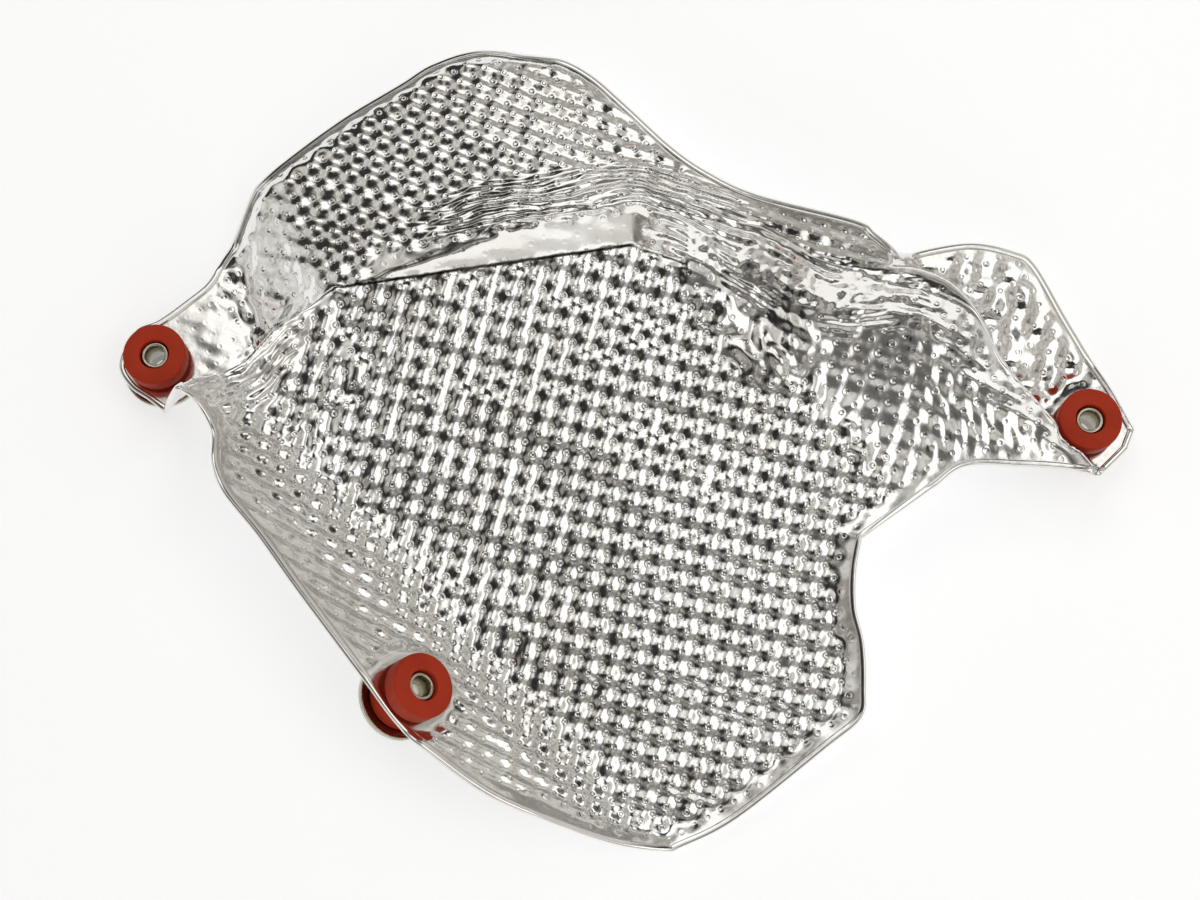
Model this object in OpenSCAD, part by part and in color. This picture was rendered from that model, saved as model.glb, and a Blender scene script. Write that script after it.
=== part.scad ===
// Heat shield of a car engine bay: one sheet of dimpled aluminium, pressed into a bowl
// with a raised upper lobe and a bolting tab at each end, its edge folded into a hem,
// hung on three rubber grommets, each with a flanged steel sleeve.
// The frame is the shield as it lies: X along its length, Y across, Z up, with its origin
// on the plane under it, which the two side sleeves and the low edge of the bowl touch,
// below the middle of the whole part.

/* [Size] */
// Length of the shield over both tabs
shield_l = 351; // [320:1:380]
// Width of the shield from its low edge to the top of the lobe
shield_w = 274; // [250:1:300]

/* [Sheet] */
// Thickness of the aluminium sheet
sheet_t = 0.8; // [0.5:0.1:1.2]
// Width of the folded hem along the edge
hem_w = 2.2; // [1.5:0.1:3.5]
// Thickness of the folded hem, which lies on the upper side
hem_t = 1.8; // [1.3:0.1:3]

/* [Emboss] */
// Pitch of the embossed domes along a row
emboss_pitch = 7.2; // [6.8:0.1:9]
// Height of a dome, and depth of a dimple, from the middle of the sheet
emboss_h = 0.9; // [0.4:0.1:1.2]
// Turn of the dome rows from the X axis, clockwise in degrees
emboss_turn = 14.5; // [0:0.5:30]
// Plain width left between the edge and the first full domes
emboss_margin = 6; // [4:0.5:10]

/* [Bowl] */
// Slope of the bowl's floor, rising away from its low edge, in degrees
floor_slope = 10; // [7:0.5:13]
// Height of the floor's slope where it reaches the low edge, under the raised lip
floor_z = -0.35; // [-0.5:0.05:1]
// Slope of the long side wall at its upper end, as rise over run
wall_slope = 1.25; // [1:0.05:1.4]
// Loss of that slope for each millimetre along the wall
wall_ease = 0.0032; // [0.001:0.0002:0.004]
// Softness of the bend between the floor and the side wall
wall_bend = 7; // [3:0.5:12]
// Slope of the bank at the bowl's right end, as rise over run
bank_slope = 0.17; // [0.1:0.01:0.22]
// Softness of the bend between the floor and the bank
bank_bend = 6; // [2:0.5:12]
// Height of the folded crest where the side wall passes the left tab
fold_rise = 9; // [4:0.5:12]
// Width of that fold on each side of its crest
fold_w = 20; // [14:1:28]

/* [Lobe] */
// Slope of the step that climbs out of the bowl to the lobe
step_slope = 1; // [0.8:0.05:1.3]
// Rise of the lobe for each millimetre to the right
lobe_rise = 0.23; // [0.18:0.01:0.26]
// Fall of the lobe for each millimetre towards its top edge
lobe_fall = 0.055; // [0:0.005:0.1]
// Fall of the ridge between the lobe and its left flank, towards the edge
ridge_fall = 0.163; // [0.1:0.01:0.25]
// Fall of the left flank from that ridge to the left tab
flank_fall = 0.72; // [0.6:0.02:0.9]
// Height of the shoulder at the right end of the lobe
shoulder_z = 50.5; // [46:0.5:54]
// Fall of the shoulder towards the outer edge
shoulder_fall = 0.35; // [0.2:0.05:0.5]

/* [Hump] */
// Height of the right hump above the bank beside the shoulder
hump_top_h = 7.5; // [6:0.25:9]
// Height of the hump above the bowl at its lower end
hump_end_h = 4; // [3:0.25:5]
// Width of the hump's inner face beside the shoulder
hump_face_w = 16; // [13:0.5:18]
// Height of the panel that runs from the shoulder down to the right tab
brow_z = 44.5; // [40:0.5:48]
// Fall of that panel for each millimetre to the right
brow_fall = 1.3; // [1:0.05:1.6]
// Slope of the outer faces that drop from the fold and the hump to the tabs
drop_slope = 3.6; // [3:0.1:5]
// Rise of the right tab towards the shoulder
channel_rise = 0.33; // [0.2:0.01:0.5]

/* [Edge] */
// Width of the raised lip along the edge
lip_w = 8; // [6:0.5:12]
// Rise of the lip along the lower right edge
lip_rise = 3.5; // [2:0.5:5]
// Drop of the edge along the upper left of the lobe
edge_drop = 4.5; // [1:0.5:6]

/* [Grommets] */
// Diameter of a rubber grommet
grommet_d = 21.5; // [19:0.5:22.5]
// Thickness of the grommet's disc above the sheet
grommet_top_t = 7; // [5:0.5:9]
// Thickness of the grommet's disc below the sheet
grommet_low_t = 7; // [5:0.5:9]
// Width of the groove between the two discs
groove_w = 3.4; // [2.5:0.1:5]
// Diameter of the grommet's neck in the groove
neck_d = 14; // [12.5:0.5:15]
// Diameter of the hole through the grommet
grommet_bore = 10.2; // [9.8:0.1:11]
// Rounding of the grommet's outer edges
grommet_round = 0.8; // [0.4:0.1:1.5]

/* [Sleeves] */
// Outer diameter of a steel sleeve
sleeve_d = 9; // [8.4:0.1:9.4]
// Bore of a sleeve, for an M6 bolt
sleeve_bore = 6.8; // [6.4:0.1:7.4]
// Diameter of a sleeve's flange
flange_d = 28; // [25:0.5:30]
// Thickness of a sleeve's flange
flange_t = 1.2; // [0.8:0.1:2]
// Height of the turned up rim around the flange
flange_rim_h = 1; // [0.5:0.1:2]
// Width of that rim
flange_rim_w = 0.9; // [0.6:0.1:1.5]
// Depth of the sleeve's end below the grommet's top face
sleeve_recess = 1.6; // [0.5:0.1:3]
// Lean of the lower sleeve to the right, as run over rise
lower_lean_x = 0.69; // [0.6:0.01:0.8]
// Lean of the lower sleeve away from the low edge, as run over rise
lower_lean_y = 0.17; // [0.1:0.01:0.3]
// Clearance left between pieces where they seat
seat_gap = 0.3; // [0.2:0.05:0.4]

/* [Hidden] */

// Round parts use enough faces to read as true circles
round_fn = 96;
// Height of both tabs: their sheet lies on the lower discs, over the flanges
tab_z = flange_t + seat_gap + grommet_low_t + seat_gap + sheet_t;
// Radius of the holes in the sheet, clear of the grommets' necks
hole_r = neck_d / 2 + seat_gap;
// Radius of the plain flat pads under the grommets, and the width of their soft border
pad_r = grommet_d / 2 + 1.75;
pad_border = 5.5;
// Radius that the steep faces beside a grommet stay clear of
clear_r = grommet_d / 2 + 0.9;
// Share of a lattice step within which a vertex is drawn onto a bend
draw_share = 0.46;
// Room around the outline in which the emboss is worked out
edge_room = 16;
// Width of the ironed band above the crease, and the place where it ends
ironed_w = 9;
ironed_end = placed([60, 0]);
// Share of the emboss left in the ironed band, on the flank, the shoulder and the bank
ironed_share = 0.15;
flank_share = 0.35;
shoulder_share = 0.5;
bank_share = 0.4;
// Shares by which the wall, the step and the flank draw the pattern together, and the
// widths over which the step and the flank do so
wall_draws = 0.38;
step_draws = 0.28;
flank_draws = 0.19;
step_drawn_w = 28;
flank_drawn_w = 40;
// Roundings between the panels of the lobe, the hump and the tabs
lobe_bend = 8;
flank_bend = 3;
tab_bend = 1.5;
hump_bend = 2;
step_bend = 2;

// Places seen from above are drawn at a length of 351 and a width of 274
function placed(v) = [v.x / 351 * shield_l, v.y / 274 * shield_w];

left_hole = placed([-153, 35]);
right_hole = placed([167, 12]);
lower_hole = placed([-61.5, -82.5]);
low_edge = placed([21, -130]);
// Middle of the whole part, which comes to lie over the origin
middle = placed([8.057, 4.908]);

// The edge of the sheet seen from above, clockwise, as stretches that meet at corners.
// Each stretch is a smooth curve through its points.
edge_stretches = [
    // left tab, then the left flank and the lobe up to its top, and down to the shoulder
    [
        [-144, 13], [-150, 16.5], [-156, 21], [-163, 26], [-167, 34], [-162, 46],
        [-154, 50], [-145, 57], [-137, 64.5], [-132, 76], [-123.5, 94.5], [-116.5, 101],
        [-92, 118.5], [-70, 131], [-58, 138], [-40, 142], [-16, 137], [-3, 130],
        [10, 117], [24, 102], [36, 92.5], [53, 84], [86, 76], [93, 71], [100, 64.5]
    ],
    // outer edge of the right tab
    [
        [100, 64.5], [113, 69], [128, 72], [142, 70.5], [150, 66.5], [161.5, 49],
        [175, 28.5], [184, 10.5]
    ],
    // end of the right tab
    [[184, 10.5], [181, 3.5]],
    [[181, 3.5], [168, -9]],
    // hem below the right hump
    [
        [168, -9], [157, -6.5], [141, -5.5], [123, -5.5], [113, -12], [106.5, -16.5],
        [87.5, -30]
    ],
    // right side, low edge and long side wall up to the fold
    [
        [87.5, -30], [85.5, -41], [85.5, -53], [88, -64], [88.5, -78.5], [87, -88.5],
        [75, -98.5], [45, -121.5], [27, -130.5], [21, -132], [2.5, -129.5], [-20.5, -122],
        [-37, -115], [-53, -104], [-65, -94], [-78, -77], [-97.5, -51.5], [-110, -34.5],
        [-121.5, -20.5], [-125.5, -11], [-127, 1], [-132, 10], [-137, 13]
    ],
    [[-137, 13], [-144, 13]]
];
// Pieces of curve between two edge points
edge_steps = 3;

// The line where the bowl ends and the outer panels begin: the fold beside the left tab,
// the crease under the lobe from left to right, and the foot of the right hump
left_corner = placed([-89.7, 54.2]);
fold_run = 45;
crest_drawn = [
    [-138, 5], [-136, 16], [-119.3, 27], [-108, 40], [-89.7, 54.2], [10.9, 68.7],
    [46.7, 55.9], [66, 44], [89, 41], [104, 41], [113, 36.5], [126, 20], [150, 3.7],
    [163, -9]
];
crest = [for (v = crest_drawn) placed(v)];
// Length by which the crest line runs on past its two ends
crest_reach = 9;

// Upper end and run of the bend between the floor and the long side wall
wall_start = placed([-121.5, 16.7]);
wall_dir = unit([0.687, -0.726]);
wall_out = [wall_dir.y, -wall_dir.x];
// A point on the foot of the bank, the way it rises, and the stretches over which it
// grows from the right tab to the shoulder and over which it irons the emboss
bank_start = placed([10.9, 68.7]);
bank_dir = unit([0.664, 0.748]);
bank_end = placed([95, 0]);
bank_grows = [placed([0, 0]).y, placed([0, 52]).y];
bank_irons = [-2, 10];
// Stretch over which the foot of the step turns from a crease into a soft bend
soft_foot = [placed([12, 0]).x, placed([48, 0]).x];
// Directions up the step, down the left flank and along its ridge
step_dir = unit([0.2, 0.98]);
flank_dir = unit([-0.863, -0.505]);
flank_along = [flank_dir.y, -flank_dir.x];
// Outer end of the shoulder, and the way it falls
shoulder_end = placed([10.6, 81.9]);
shoulder_dir = unit([0.468, 0.885]);
// Start of the panel that runs down to the right tab, and the way that tab rises
brow_start = placed([96, 0]);
channel_dir = unit([-0.73, 0.68]);
channel_flat = 14;
// The shoulder's plainer part
shoulder_part = placed([20, 92]);
// Stretches, along the diagonals of the plan, over which the lip and the drop grow
low_right = unit([1, -1]);
lip_grows = [50, 70];
lip_ends = placed([110, 0]);
up_left = unit([-1, 1]);
drop_grows = [106, 118];
drop_starts = placed([0, 68]);

function unit(v) = v / norm(v);
function clamp(v, lo, hi) = max(lo, min(hi, v));
function ramp(v, from, to) = clamp((v - from) / (to - from), 0, 1);
function soft_ramp(v, from, to) = let (c = ramp(v, from, to)) c * c * (3 - 2 * c);
function soft_max(a, b, r) = (a + b + sqrt((a - b) * (a - b) + r * r)) / 2;
function soft_min(a, b, r) = (a + b - sqrt((a - b) * (a - b) + r * r)) / 2;
function cross2(a, b) = a.x * b.y - a.y * b.x;

// Smooth open curve through points, the last point left out
function curve(pts, steps) = [
    for (i = [0 : len(pts) - 2])
        let (
            b = pts[i],
            c = pts[i + 1],
            a = i > 0 ? pts[i - 1] : 2 * b - c,
            d = i < len(pts) - 2 ? pts[i + 2] : 2 * c - b
        )
        for (k = [0 : steps - 1])
            let (t = k / steps)
            (2 * b + (c - a) * t + (2 * a - 5 * b + 4 * c - d) * t * t
                + (3 * b - a - 3 * c + d) * t * t * t) / 2
];

// Offset of a point from a segment, as the vector from its nearest point.
// lo and hi say how far the segment runs on past its ends.
function seg_offset(p, a, b, lo, hi) =
    let (ab = b - a, t = max(lo, min(hi, ((p - a) * ab) / (ab * ab))))
    p - a - t * ab;

// Distance beyond the crest line, positive on the outer panels and negative in the bowl,
// and the direction in which it grows
function crest_offset(p) =
    let (
        last = len(crest) - 2,
        all = [
            for (i = [0 : last])
                let (
                    run = crest[i + 1] - crest[i],
                    more = crest_reach / norm(run),
                    v = seg_offset(p, crest[i], crest[i + 1], i == 0 ? -more : 0, i == last ? 1 + more : 1),
                    side = cross2(run, v) < 0 ? -1 : 1
                )
                [norm(v) * side, norm(v) > 0 ? v / norm(v) * side : unit([-run.y, run.x])]
        ],
        least = min([for (s = all) abs(s[0])])
    )
    [for (s = all) if (abs(s[0]) == least) s][0];

// Height of the bowl: a sloping floor, the long side wall and the bank at the right end
function floor_at(y) = floor_z + tan(floor_slope) * (y - low_edge.y);
function bank_d(p) = max((p - bank_start) * bank_dir, p.x - bank_end.x);
function bowl_z(p) =
    let (
        along = (p - wall_start) * wall_dir,
        out = (p - wall_start) * wall_out,
        slope = clamp(wall_slope - wall_ease * along, 0.6, 1.4),
        bank = bank_slope * soft_ramp(p.y, bank_grows[0], bank_grows[1])
    )
    floor_at(p.y) + slope * soft_max(out, 0, wall_bend)
        + bank * soft_max((p - bank_start) * bank_dir, 0, bank_bend);

// Height of the hump's ridge above the bank, from the shoulder to the right tab, and the
// width of the hump's inner face
function hump_h(x) =
    let (mid_h = (hump_top_h + hump_end_h) / 2)
    lookup(x * 351 / shield_l, [[95, hump_top_h], [130, mid_h], [155, hump_end_h]]);
function hump_w(x) =
    lookup(x * 351 / shield_l, [[95, 1], [130, 0.8], [155, 0.33], [166, 0.25]]) * hump_face_w;

// Height of the step over the bowl: straight from its crease under the lobe, and hollow
// where it turns into the hump's inner face
function step_z(p, d) =
    let (hollow = soft_ramp(p.x, soft_foot[0], soft_foot[1]), t = d / hump_w(p.x))
    (1 - hollow) * step_slope * d + hollow * hump_h(p.x) * t * t;

// Height of the two lower panels: the left tab with its flank, the right tab with its rise
function left_z(p) =
    let (
        from = p - left_corner,
        corner_z = floor_at(left_corner.y),
        lobe = corner_z + lobe_rise * from.x - lobe_fall * from.y,
        shoulder = shoulder_z - shoulder_fall * ((p - shoulder_end) * shoulder_dir),
        flank = corner_z - ridge_fall * (from * flank_along) - flank_fall * (from * flank_dir)
    )
    soft_max(soft_min(soft_min(lobe, shoulder, lobe_bend), flank, flank_bend), tab_z, tab_bend);
function right_z(p) = tab_z + channel_rise * max(0, (p - right_hole) * channel_dir - channel_flat);

// Distance from the crest line to the ridge of the outer panels, none left of the lobe
function ridge_d(p) = p.x > shoulder_part.x ? hump_w(p.x) : 0;

// Height of the fold's crest over the wall, growing from the corner to the left end
function fold_h(x) = fold_rise * ramp(left_corner.x - x, 0, fold_run);

// Distance from the crest line to the foot of the steep outer faces
function foot_d(p) =
    let (drop = p.x > 0 ? hump_h(p.x) - right_z(p) : fold_h(p.x) - left_z(p))
    ridge_d(p) + max(0, bowl_z(p) + drop) / drop_slope;

// Height of the panels outside the crest line
function outer_z(p, d, bowl) =
    let (
        hump = bowl + hump_h(p.x) - drop_slope * (d - hump_w(p.x)),
        brow = brow_z - brow_fall * (p.x - brow_start.x)
    )
    soft_min(left_z(p), soft_max(soft_max(brow, hump, hump_bend), right_z(p), 1), 2);

// Height of the sheet's upper face, without emboss, at a point and its distance inside
// the edge
function face_z(p, edge_d) =
    let (
        d = crest_offset(p)[0],
        bowl = bowl_z(p) + fold_h(p.x) * soft_ramp(fold_w - abs(d), 0, fold_w),
        outer = max(outer_z(p, d, bowl), bowl - drop_slope * d),
        panel = d < 0 ? bowl : soft_min(outer, bowl + step_z(p, d), step_bend * ramp(d, 0, 4)),
        rise = lip_rise * ramp(p * low_right, lip_grows[0], lip_grows[1]) * ramp(lip_ends.x - p.x, 0, 20),
        fall = edge_drop * ramp(p * up_left, drop_grows[0], drop_grows[1])
            * ramp(p.y - drop_starts.y, 0, 10),
        z = panel + (rise - fall) * soft_ramp(lip_w - edge_d, 0, lip_w),
        steep = 2 * drop_slope,
        by_left = tab_z + steep * max(0, norm(p - left_hole) - clear_r),
        by_right = tab_z + steep * max(0, norm(p - right_hole) - clear_r),
        on_wall = bowl_z(lower_hole) - [lower_lean_x, lower_lean_y] * (p - lower_hole),
        blend = soft_ramp(norm(p - lower_hole), pad_r, pad_r + pad_border)
    )
    min(z, by_left, by_right) * blend + on_wall * (1 - blend);

// Share of the full emboss height that is left at a point
function emboss_share(p, edge_d) =
    let (
        d = crest_offset(p)[0],
        outside = d > -1,
        in_band = outside && d < ironed_w && p.x > left_corner.x && p.x < ironed_end.x,
        ironed = in_band ? ironed_share : 1,
        flank = outside && (p - left_corner) * flank_dir > 0 ? flank_share : 1,
        shoulder = outside && p.x > shoulder_part.x && p.y < shoulder_part.y ? shoulder_share : 1,
        bank = 1 - (1 - bank_share) * ramp(bank_d(p), bank_irons[0], bank_irons[1])
            * ramp(-d, -2, 2),
        line = p.x > shoulder_part.x || p.x < left_corner.x ? ramp(abs(d - ridge_d(p)), 0, 3) : 1,
        pads = min([
            for (c = [left_hole, right_hole, lower_hole])
                soft_ramp(norm(p - c), pad_r, pad_r + pad_border)
        ])
    )
    ironed * flank * shoulder * bank * line * pads * soft_ramp(edge_d, hem_w, emboss_margin);

// Place on the flat sheet to place seen from above: slopes draw the pattern together
function pressed(p) =
    let (
        out = (p - wall_start) * wall_out,
        d = crest_offset(p)[0],
        flank = (p - left_corner) * flank_dir,
        step_w = step_drawn_w * ramp(p.x - left_corner.x, 0, 100)
    )
    p - wall_out * wall_draws * soft_max(out - 2, 0, 6)
        - step_dir * step_draws * clamp(d, 0, step_w)
        - flank_dir * flank_draws * clamp(flank, 0, flank_drawn_w) * ramp(d, 0, 10);

// Draws a place onto the border of a pad, or onto the crest, the ridge or the foot of
// a steep face, if it lies near one
function drawn(p, reach) =
    let (
        pads = [
            for (c = [left_hole, right_hole, lower_hole])
                if (abs(norm(p - c) - clear_r) < reach) c
        ],
        o = crest_offset(p),
        on_step = p.x > left_corner.x && p.x < shoulder_part.x,
        lines = on_step ? [0] : p.x > 0 ? [0, ridge_d(p), foot_d(p)] : [0, foot_d(p)],
        least = min([for (l = lines) abs(l - o[0])]),
        line = [for (l = lines) if (abs(l - o[0]) == least) l][0]
    )
    len(pads) > 0 ? pads[0] + unit(p - pads[0]) * clear_r
    : least < reach ? p + o[1] * (line - o[0]) : p;

// The sheet: one vertex on each dome and each dimple, those beside a bend drawn onto it,
// the edge vertices moved onto the hem, and the hem as a thicker band outside them
module shield_sheet() {
    edge = [for (s = edge_stretches) each curve([for (v = s) placed(v)], edge_steps)];
    count = len(edge);
    sides = [for (i = [0 : count - 1]) [edge[i], edge[(i + 1) % count]]];
    step = emboss_pitch / sqrt(2);
    row = [cos(45 - emboss_turn), sin(45 - emboss_turn)] * step;
    col = [-row.y, row.x];
    reach = ceil(0.52 * norm([shield_l, shield_w]) / step);
    size = 2 * reach + 1;

    // nearest offset from the edge, with the sign of the inside in front
    function edge_offset(p) =
        let (
            offs = [for (s = sides) seg_offset(p, s[0], s[1], 0, 1)],
            least = min([for (v = offs) v * v]),
            v = [for (o = offs) if (o * o == least) o][0],
            crossings = len([
                for (s = sides)
                    if ((s[0].y > p.y) != (s[1].y > p.y)
                        && p.x < (s[1].x - s[0].x) * (p.y - s[0].y) / (s[1].y - s[0].y) + s[0].x) 1
            ])
        )
        [crossings % 2 == 1 ? norm(v) : -norm(v), v];

    // grid of lattice places: seen from above, distance inside the edge, offset vector
    grid = [
        for (i = [-reach : reach])
            [
                for (j = [-reach : reach])
                    let (
                        p = drawn(pressed(i * row + j * col), draw_share * step),
                        near = abs(p.x) < shield_l / 2 + edge_room && abs(p.y) < shield_w / 2 + edge_room
                    )
                    near ? concat([p], edge_offset(p)) : [p, -99, [1, 0]]
            ]
    ];
    function cell_in(i, j) =
        i >= 0 && j >= 0 && i < size - 1 && j < size - 1
        && (grid[i][j][1] + grid[i + 1][j][1] + grid[i][j + 1][1] + grid[i + 1][j + 1][1]) / 4 > hem_w;
    kept = [for (i = [0 : size - 1]) [for (j = [0 : size - 1]) cell_in(i, j) ? 1 : 0]];
    function is_kept(i, j) = i >= 0 && j >= 0 && kept[i][j] == 1;
    function use(i, j) =
        (is_kept(i, j) ? 1 : 0) + (is_kept(i - 1, j) ? 1 : 0)
        + (is_kept(i, j - 1) ? 1 : 0) + (is_kept(i - 1, j - 1) ? 1 : 0);

    // upper face point and its unit normal at a place
    function face_point(p, edge_d) =
        let (
            e = 1,
            z = face_z(p, edge_d),
            n = unit([z - face_z(p + [e, 0], edge_d), z - face_z(p + [0, e], edge_d), e])
        )
        [[p.x, p.y, z], n];

    // each used vertex: upper, lower, hem upper and hem lower points
    verts = [
        for (i = [0 : size - 1])
            for (j = [0 : size - 1])
                let (u = use(i, j), g = grid[i][j])
                u == 0 ? [] :
                let (
                    // a rim vertex moves along its offset onto the hem line
                    off = g[1] < 0 ? -1 : 1,
                    inward = unit(g[2]) * off,
                    at_edge = g[0] - g[2],
                    p = u == 4 ? g[0] : at_edge + inward * hem_w,
                    edge_d = u == 4 ? g[1] : hem_w,
                    f = face_point(p, edge_d),
                    side = (i + j) % 2 == 0 ? 1 : -1,
                    lift = u == 4 ? side * emboss_h * emboss_share(p, edge_d) : 0,
                    up = f[0] + f[1] * lift,
                    down = up - f[1] * sheet_t,
                    rim = u == 4 ? f : face_point(at_edge, 0)
                )
                [up, down, rim[0] + rim[1] * (hem_t - sheet_t), rim[0] - rim[1] * sheet_t]
    ];
    used = [for (v = verts) len(v) > 0 ? 1 : 0];
    rank = running(used);
    total = rank[len(rank) - 1] + used[len(used) - 1];
    points = [for (layer = [0 : 3]) for (v = verts) if (len(v) > 0) v[layer]];
    function at(i, j, layer) = layer * total + rank[i * size + j];

    // each kept cell gives two triangles above and two below
    cells = [
        for (i = [0 : size - 2])
            for (j = [0 : size - 2])
                if (kept[i][j] == 1)
                    let (
                        q = [[i, j], [i + 1, j], [i + 1, j + 1], [i, j + 1]],
                        xy = [for (c = q) let (v = verts[c.x * size + c.y][0]) [v.x, v.y]],
                        even = (i + j) % 2 == 0,
                        first = min(area2(xy[0], xy[1], xy[2]), area2(xy[0], xy[2], xy[3])),
                        other = min(area2(xy[0], xy[1], xy[3]), area2(xy[1], xy[2], xy[3])),
                        use_first = even ? first >= 0.5 * other : other < 0.5 * first
                    )
                    for (t = use_first ? [[0, 1, 2], [0, 2, 3]] : [[0, 1, 3], [1, 2, 3]])
                        [for (k = t) q[k]]
    ];
    // sides of kept cells that border on nothing, in anticlockwise order
    rims = [
        for (i = [0 : size - 2])
            for (j = [0 : size - 2])
                if (kept[i][j] == 1)
                    for (s = [
                        [[i, j], [i + 1, j], [i, j - 1]],
                        [[i + 1, j], [i + 1, j + 1], [i + 1, j]],
                        [[i + 1, j + 1], [i, j + 1], [i, j + 1]],
                        [[i, j + 1], [i, j], [i - 1, j]]
                    ])
                        if (!is_kept(s[2].x, s[2].y)) [s[0], s[1]]
    ];
    faces = concat(
        [for (t = cells) [for (k = [2, 1, 0]) at(t[k].x, t[k].y, 0)]],
        [for (t = cells) [for (k = [0, 1, 2]) at(t[k].x, t[k].y, 1)]],
        [
            for (r = rims)
                let (a = r[0], b = r[1])
                for (l = [[0, 2], [2, 3], [3, 1]])
                    for (t = [
                        [at(a.x, a.y, l[0]), at(b.x, b.y, l[0]), at(b.x, b.y, l[1])],
                        [at(a.x, a.y, l[0]), at(b.x, b.y, l[1]), at(a.x, a.y, l[1])]
                    ])
                        t
        ]
    );
    echo(vertices = total, triangles = len(faces), rims = len(rims));
    polyhedron(points = points, faces = faces, convexity = 10);
}

function area2(a, b, c) = cross2(b - a, c - a);

// Number of set flags before each place in a list
function running(flags) = [for (i = 0, n = 0; i < len(flags); n = n + flags[i], i = i + 1) n];

// Puts its children on a hole of the sheet, with the sleeve's flange at local zero
module at_hole(which) {
    if (which == "left")
        translate(left_hole)
            children();
    if (which == "right")
        translate(right_hole)
            children();
    if (which == "lower")
        translate([lower_hole.x, lower_hole.y, bowl_z(lower_hole)])
            rotate([0, atan(norm([lower_lean_x, lower_lean_y])), atan2(lower_lean_y, lower_lean_x)])
                translate([0, 0, -tab_z])
                    children();
}

module shield() {
    cut = 4 * hem_t;
    color([0.80, 0.80, 0.79])
        difference() {
            shield_sheet();
            for (which = ["left", "right", "lower"])
                at_hole(which)
                    translate([0, 0, tab_z - cut / 2])
                        cylinder(r = hole_r, h = cut, $fn = round_fn);
        }
}

// Spool of red rubber: two discs, and a neck in the sheet's hole
module grommet() {
    r = grommet_d / 2;
    low = flange_t + seat_gap;
    groove = low + grommet_low_t;
    upper = groove + groove_w;
    top = upper + grommet_top_t;
    function arc(x, z, from) = [
        for (a = [from : 30 : from + 90])
            [x + grommet_round * cos(a), z + grommet_round * sin(a)]
    ];
    color([0.63, 0.17, 0.10])
        rotate_extrude($fn = round_fn)
            polygon(concat(
                [[grommet_bore / 2, low]],
                arc(r - grommet_round, low + grommet_round, 270),
                [[r, groove], [neck_d / 2, groove], [neck_d / 2, upper], [r, upper]],
                arc(r - grommet_round, top - grommet_round, 0),
                [[grommet_bore / 2, top]]
            ));
}

// Steel sleeve with a dished flange at its foot
module sleeve() {
    top = flange_t + seat_gap + grommet_low_t + groove_w + grommet_top_t - sleeve_recess;
    r = flange_d / 2;
    color([0.55, 0.54, 0.42])
        rotate_extrude($fn = round_fn)
            polygon([
                [sleeve_bore / 2, 0], [r - flange_rim_w / 2, 0], [r, flange_rim_w / 2],
                [r, flange_t + flange_rim_h], [r - flange_rim_w, flange_t + flange_rim_h],
                [r - flange_rim_w, flange_t], [sleeve_d / 2, flange_t], [sleeve_d / 2, top],
                [sleeve_bore / 2, top]
            ]);
}

// Puts the middle of the whole part over the origin
module centred() {
    translate(-middle)
        children();
}

centred() shield();
centred() at_hole("left") grommet();  // grommet_left
centred() at_hole("right") grommet();  // grommet_right
centred() at_hole("lower") grommet();  // grommet_lower
centred() at_hole("left") sleeve();  // sleeve_left
centred() at_hole("right") sleeve();  // sleeve_right
centred() at_hole("lower") sleeve();  // sleeve_lower
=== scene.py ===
import bpy
import math
import numpy as np
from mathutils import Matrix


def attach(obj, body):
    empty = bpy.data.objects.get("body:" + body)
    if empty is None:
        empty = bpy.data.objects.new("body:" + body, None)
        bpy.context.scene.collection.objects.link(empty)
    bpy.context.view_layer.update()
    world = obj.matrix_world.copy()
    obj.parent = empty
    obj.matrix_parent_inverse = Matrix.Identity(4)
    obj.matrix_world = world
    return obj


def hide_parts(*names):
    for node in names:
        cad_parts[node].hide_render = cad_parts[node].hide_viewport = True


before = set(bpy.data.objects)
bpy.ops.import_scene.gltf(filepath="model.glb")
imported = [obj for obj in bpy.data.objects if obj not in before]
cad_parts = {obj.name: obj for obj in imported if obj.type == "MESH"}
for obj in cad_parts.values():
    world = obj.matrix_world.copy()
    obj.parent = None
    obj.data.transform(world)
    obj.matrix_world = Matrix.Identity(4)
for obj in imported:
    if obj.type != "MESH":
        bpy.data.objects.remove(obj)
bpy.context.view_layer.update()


# Shield: one sheet of bright aluminium, embossed all over with domes and dimples, then
# pressed into a bowl with a raised lobe and a tab at each end. Its edge is folded over
# onto the upper side. Sizes are in millimetres until the mesh is made.
sheet_t = 0.8
hem_w = 2.2
hem_t = 1.8
# the emboss
dome_pitch = 7.2
dome_h = 0.7
dome_turn = 14.5
plain_edge = 6
# the bowl's floor, its long side wall and the fold at the wall's left end
floor_slope = 10
floor_z = -0.35
low_edge_y = -130.0
wall_slope = 1.25
wall_ease = 0.0032
wall_slopes = (0.6, 1.4)
wall_bend = 7
fold_rise = 9
fold_w = 20
fold_l = 45
# the step out of the bowl, the lobe above it and the lobe's left flank
step_slope = 1
step_hollows = (12, 48)
step_bend = 3
lobe_rise = 0.23
lobe_fall = 0.055
ridge_fall = 0.163
flank_fall = 0.72
flank_bend = 3
shoulder_z = 50.5
shoulder_fall = 0.35
shoulder_bend = 8
# the bank at the bowl's right end, and the hump with its drop to the right tab
bank_slope = 0.17
bank_bend = 6
bank_grows = (0, 52)
hump_top_h = 7.5
hump_end_h = 4
hump_face_w = 16
hump_at = [95, 130, 155, 166]
hump_shares = [1, 0.8, 0.33, 0.25]
hump_bend = 2
brow_x = 96
brow_z = 44.5
brow_fall = 1.3
drop_slope = 3.6
channel_rise = 0.33
channel_flat = 14
channel_bend = 1
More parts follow.
